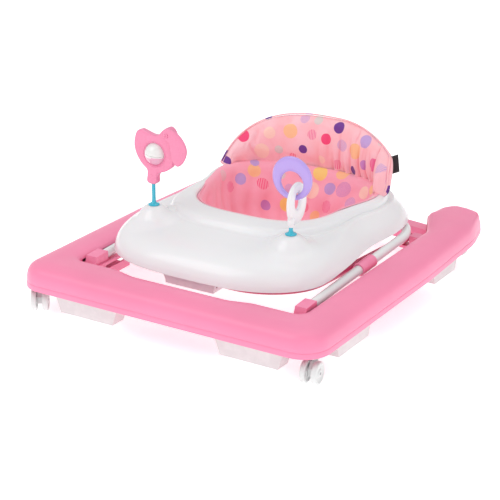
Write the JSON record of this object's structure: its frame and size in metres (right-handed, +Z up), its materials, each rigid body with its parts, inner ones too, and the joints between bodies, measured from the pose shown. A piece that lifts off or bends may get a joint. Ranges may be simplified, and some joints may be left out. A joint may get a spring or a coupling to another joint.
{
  "type": "baby walker",
  "caption": "Rolling baby walker with a bumper base, folding tube frame, activity tray, padded fabric seat and bar toys.",
  "frame": {"origin": "on the floor, at the middle of the base's length and width", "axes": "+X to the right of a child in the seat's mirror view, seen from the front; -Y towards the front bumper; +Y towards the rear wheels; +Z up"},
  "size_m": [0.66, 0.765, 0.348],
  "materials": {
    "base_pink": "satin moulded plastic, saturated pink",
    "white_plastic": "glossy white moulded plastic",
    "grey_white_plastic": "matt off-white moulded plastic",
    "tube_white": "white powder-coated steel tube",
    "tube_pink": "dark pink powder-coated steel tube",
    "lever_pink": "dark pink moulded plastic",
    "seat_fabric": "pink printed woven polyester with spots",
    "teal": "glossy teal plastic",
    "toy_pink": "glossy pink plastic",
    "lilac": "glossy lilac plastic",
    "black_tape": "black woven tape",
    "steel": "plain steel wire and pin"
  },
  "bodies": {
    "base": {"base_shell": "base_pink", "rear_crossbar": "base_pink", "front_stop_pad_left": "grey_white_plastic", "front_stop_pad_right": "grey_white_plastic", "side_stop_pad_left": "grey_white_plastic", "side_stop_pad_right": "grey_white_plastic", "rear_stop_pad_left": "grey_white_plastic", "rear_stop_pad_right": "grey_white_plastic", "caster_socket_left": "base_pink", "caster_socket_right": "base_pink", "rear_wheel_housing_left": "grey_white_plastic", "rear_wheel_housing_right": "grey_white_plastic", "rear_axle_left": "steel", "rear_axle_right": "steel", "front_slide_track_left": "base_pink", "front_slide_track_right": "base_pink", "rear_pivot_bracket_left": "base_pink", "rear_pivot_bracket_right": "base_pink", "rear_pivot_pin_left": "steel", "rear_pivot_pin_right": "steel"},
    "caster_left": {"caster_fork_left": "white_plastic"},
    "caster_wheels_left": {"caster_axle_left": "steel", "caster_wheel_inner_left": "white_plastic", "caster_wheel_outer_left": "white_plastic"},
    "rear_wheel_left": {"rear_wheel_left": "white_plastic"},
    "caster_right": {"caster_fork_right": "white_plastic"},
    "caster_wheels_right": {"caster_axle_right": "steel", "caster_wheel_inner_right": "white_plastic", "caster_wheel_outer_right": "white_plastic"},
    "rear_wheel_right": {"rear_wheel_right": "white_plastic"},
    "inner_frame": {"inner_tube": "tube_pink", "cross_rivet_left": "steel", "cross_rivet_right": "steel"},
    "outer_frame": {"outer_tube": "tube_white", "tube_socket_left": "base_pink", "tube_socket_right": "base_pink", "front_slide_pin_left": "steel", "front_slide_pin_right": "steel", "cross_collar_left": "base_pink", "cross_collar_right": "base_pink"},
    "tray": {"tray_shell": "white_plastic", "tray_frame": "white_plastic", "rear_tube_clip_left": "white_plastic", "rear_tube_clip_right": "white_plastic", "latch_housing": "white_plastic", "lever_spring": "steel", "seat_ring": "white_plastic", "seat_sling": "seat_fabric", "seat_back": "seat_fabric", "seat_tag": "black_tape", "toy_stem_left": "teal", "toy_stem_right": "teal"},
    "height_lever": {"height_lever": "lever_pink"},
    "rattle": {"rattle_body": "toy_pink", "rattle_wing": "toy_pink", "rattle_rivet": "toy_pink"},
    "rattle_ball": {"rattle_ball": "white_plastic"},
    "link": {"toy_link": "white_plastic"},
    "ring": {"toy_ring": "lilac"}
  },
  "joints": [
    {"name": "caster_swivel_left", "type": "hinge", "parent": "base", "child": "caster_left", "pos_m": [-0.304, -0.34, 0.05], "axis": [0, 0, 1], "continuous": true},
    {"name": "caster_roll_left", "type": "hinge", "parent": "caster_left", "child": "caster_wheels_left", "pos_m": [-0.29855, -0.34839, 0.0215], "axis": [0.8387, 0.5446, 0], "continuous": true},
    {"name": "rear_roll_left", "type": "hinge", "parent": "base", "child": "rear_wheel_left", "pos_m": [-0.2625, 0.325, 0.0215], "axis": [1, 0, 0], "continuous": true},
    {"name": "caster_swivel_right", "type": "hinge", "parent": "base", "child": "caster_right", "pos_m": [0.304, -0.34, 0.05], "axis": [0, 0, 1], "continuous": true},
    {"name": "caster_roll_right", "type": "hinge", "parent": "caster_right", "child": "caster_wheels_right", "pos_m": [0.30522, -0.34992, 0.0215], "axis": [0.9925, 0.1219, 0], "continuous": true},
    {"name": "rear_roll_right", "type": "hinge", "parent": "base", "child": "rear_wheel_right", "pos_m": [0.2625, 0.325, 0.0215], "axis": [1, 0, 0], "continuous": true},
    {"name": "frame_lift", "type": "hinge", "parent": "base", "child": "inner_frame", "pos_m": [0, 0.2128, 0.07], "axis": [-1, 0, 0], "range_deg": [0, 30]},
    {"name": "frame_cross", "type": "hinge", "parent": "inner_frame", "child": "outer_frame", "pos_m": [0, -0.0247, 0.087], "axis": [-1, 0, 0], "range_deg": [-60, 0]},
    {"name": "tray_level", "type": "hinge", "parent": "outer_frame", "child": "tray", "pos_m": [0, 0.2128, 0.104], "axis": [-1, 0, 0], "range_deg": [0, 30]},
    {"name": "height_lever_pull", "type": "hinge", "parent": "tray", "child": "height_lever", "pos_m": [0, -0.16906, 0.094], "axis": [1, 0, 0], "range_deg": [0, 15], "stiffness_Nm_per_rad": 0.3, "springref_deg": -11.46},
    {"name": "rattle_turn", "type": "hinge", "parent": "tray", "child": "rattle", "pos_m": [-0.1535, -0.168, 0.236], "axis": [0, 0, 1], "continuous": true},
    {"name": "rattle_ball_spin", "type": "hinge", "parent": "rattle", "child": "rattle_ball", "pos_m": [-0.1455, -0.168, 0.2935], "axis": [0, 0, 1], "continuous": true},
    {"name": "link_turn", "type": "hinge", "parent": "tray", "child": "link", "pos_m": [0.1535, -0.168, 0.215], "axis": [0, 0, 1], "continuous": true},
    {"name": "ring_tilt", "type": "hinge", "parent": "link", "child": "ring", "pos_m": [0.1535, -0.1485, 0.2546], "axis": [1, 0, 0], "range_deg": [-10, 10]}
  ],
  "couplings": [
    {"joint": "frame_cross", "follows": "frame_lift", "ratio": -2},
    {"joint": "tray_level", "follows": "frame_lift", "ratio": 1}
  ]
}
